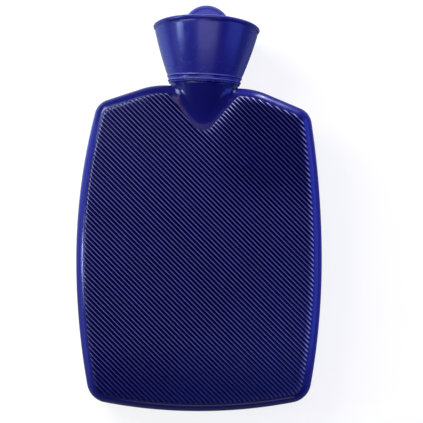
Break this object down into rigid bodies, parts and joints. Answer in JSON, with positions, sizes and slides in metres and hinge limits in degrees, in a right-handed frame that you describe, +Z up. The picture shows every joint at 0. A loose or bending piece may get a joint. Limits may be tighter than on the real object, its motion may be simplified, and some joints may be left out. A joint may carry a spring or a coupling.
{
  "type": "hot water bottle",
  "caption": "Moulded hot water bottle with diagonally ribbed faces, a wide conical filling funnel and a screw stopper with a finger tab.",
  "frame": {"origin": "on the surface the bottle lies on, below the middle of its outline", "axes": "+X to the right seen from the front face, +Y from the foot of the bag towards the neck, +Z up, out of the front face"},
  "size_m": [0.201, 0.331, 0.0898],
  "materials": {
    "bag_vinyl": "soft glossy vinyl",
    "funnel_vinyl": "soft glossy vinyl",
    "bush_plastic": "satin moulded plastic",
    "washer_rubber": "matt rubber",
    "screw_plastic": "satin moulded plastic",
    "grip_vinyl": "soft glossy vinyl"
  },
  "bodies": {
    "bottle": {"bottle_body": "bag_vinyl", "filling_funnel": "funnel_vinyl", "neck_insert": "bush_plastic"},
    "washer": {"sealing_washer": "washer_rubber"},
    "stopper": {"stopper_screw": "screw_plastic", "stopper_grip": "grip_vinyl"}
  },
  "joints": [
    {"name": "stopper_lift", "type": "slide", "parent": "bottle", "child": "washer", "axis": [0.0419, 0.9956, 0.0837], "range_m": [0, 0.0151]},
    {"name": "stopper_turn", "type": "hinge", "parent": "washer", "child": "stopper", "pos_m": [0.00444, 0.1064, 0.04117], "axis": [0.0419, 0.9956, 0.0837], "range_deg": [0, 1080]}
  ],
  "couplings": [
    {"joint": "stopper_lift", "follows": "stopper_turn", "m_per_rad": 0.00079577}
  ]
}
